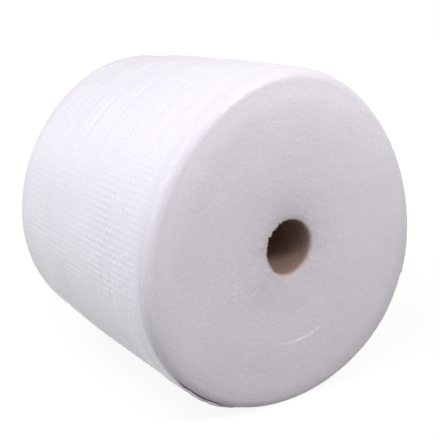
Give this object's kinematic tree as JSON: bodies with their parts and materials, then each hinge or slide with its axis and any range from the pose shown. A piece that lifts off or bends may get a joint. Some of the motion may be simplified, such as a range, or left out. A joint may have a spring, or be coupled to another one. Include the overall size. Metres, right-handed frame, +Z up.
{
  "type": "roll of bubble wrap film",
  "caption": "Clear bubble film wound into a soft, slightly flattened roll on a cardboard tube, with a loose outer end, dished ends and an open core bore.",
  "frame": {"origin": "on the surface the roll lies on, under the middle of its flat spot", "axes": "+X along the roll's axis towards the end that is seen, +Y across it towards its back, +Z up"},
  "size_m": [0.425, 0.4676, 0.4733],
  "materials": {
    "bubble_film": "clear polyethylene bubble film, frosted where its turns lie on each other",
    "cardboard": "plain brown spiral-wound board"
  },
  "bodies": {
    "root": {"film_roll": "bubble_film", "cardboard_core": "cardboard"}
  },
  "joints": []
}
